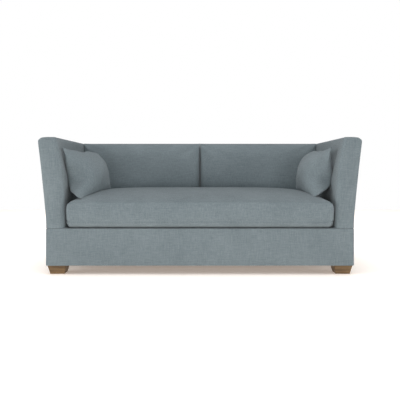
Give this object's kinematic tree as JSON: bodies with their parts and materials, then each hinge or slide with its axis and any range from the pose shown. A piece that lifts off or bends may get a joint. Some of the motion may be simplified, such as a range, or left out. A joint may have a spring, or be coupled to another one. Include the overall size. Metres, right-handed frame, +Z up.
{
  "type": "track arm loveseat",
  "caption": "Upholstered loveseat with leaning flat-fronted arms level with a tight two-panel back, a loose crowned bench cushion, throw pillows and short tapered block feet.",
  "frame": {"origin": "on the floor under the middle of the bounding box", "axes": "+X to the right along the width, +Y to the back, +Z up; the front faces -Y"},
  "size_m": [1.8314, 0.8601, 0.777],
  "materials": {
    "upholstery": "blue-grey heathered linen weave",
    "foot_wood": "satin brown stain",
    "frame_wood": "sawn hardwood",
    "plywood": "sanded plywood",
    "spring_steel": "oil-hardened",
    "zinc_steel": "zinc plated",
    "glide_nylon": "matt",
    "black_cloth": "non-woven cambric",
    "foam": "open-cell foam",
    "fibre_fill": "fibre wadding",
    "zip_tape": "woven tape",
    "zip_metal": "nickel"
  },
  "bodies": {
    "frame": {"arm_bolts": "zinc_steel", "back_bottom_rail": "frame_wood", "back_centre_rib": "plywood", "back_left_pad": "upholstery", "back_left_rib": "plywood", "back_right_pad": "upholstery", "back_right_rib": "plywood", "back_spring_clips": "spring_steel", "back_springs": "spring_steel", "back_top_rail": "frame_wood", "corner_blocks": "frame_wood", "deck_cloth": "black_cloth", "deck_pad": "upholstery", "dust_cover": "black_cloth", "foot_bolts": "zinc_steel", "foot_glides": "glide_nylon", "front_border": "upholstery", "front_cleat": "frame_wood", "front_left_foot": "foot_wood", "front_rail": "frame_wood", "front_right_foot": "foot_wood", "left_arm_facing": "upholstery", "left_arm_front_panel": "plywood", "left_arm_outside": "upholstery", "left_arm_pad": "upholstery", "left_arm_rear_panel": "plywood", "left_arm_sole": "plywood", "left_arm_top_rail": "frame_wood", "left_border": "upholstery", "left_cross_brace": "frame_wood", "left_side_rail": "frame_wood", "outside_back": "upholstery", "rear_border": "upholstery", "rear_cleat": "frame_wood", "rear_left_foot": "foot_wood", "rear_rail": "frame_wood", "rear_right_foot": "foot_wood", "right_arm_facing": "upholstery", "right_arm_front_panel": "plywood", "right_arm_outside": "upholstery", "right_arm_pad": "upholstery", "right_arm_rear_panel": "plywood", "right_arm_sole": "plywood", "right_arm_top_rail": "frame_wood", "right_border": "upholstery", "right_cross_brace": "frame_wood", "right_side_rail": "frame_wood", "seat_spring_clips": "spring_steel", "seat_springs": "spring_steel", "spring_rail": "frame_wood", "tee_nuts": "zinc_steel"},
    "seat_cushion": {"seat_cushion_cover": "upholstery", "seat_foam_core": "foam", "zip_tape": "zip_tape"},
    "zip_slider": {"zip_slider": "zip_metal"},
    "zip_pull": {"zip_pull": "zip_metal"},
    "left_pillow": {"left_pillow_cover": "upholstery", "left_pillow_insert": "fibre_fill"},
    "right_pillow": {"right_pillow_cover": "upholstery", "right_pillow_insert": "fibre_fill"}
  },
  "joints": [
    {"name": "seat_cushion_lift", "type": "slide", "parent": "frame", "child": "seat_cushion", "axis": [0, 0, 1], "range_m": [0, 0.55]},
    {"name": "left_pillow_lift", "type": "slide", "parent": "seat_cushion", "child": "left_pillow", "axis": [0, 0, 1], "range_m": [0, 0.4]},
    {"name": "right_pillow_lift", "type": "slide", "parent": "seat_cushion", "child": "right_pillow", "axis": [0, 0, 1], "range_m": [0, 0.4]},
    {"name": "zip_slide", "type": "slide", "parent": "seat_cushion", "child": "zip_slider", "axis": [-1, 0, 0], "range_m": [0, 1.2]},
    {"name": "zip_pull_swing", "type": "hinge", "parent": "zip_slider", "child": "zip_pull", "pos_m": [0.6035, 0.1896, 0.3362], "axis": [0, 0, 1], "range_deg": [0, 170]}
  ]
}
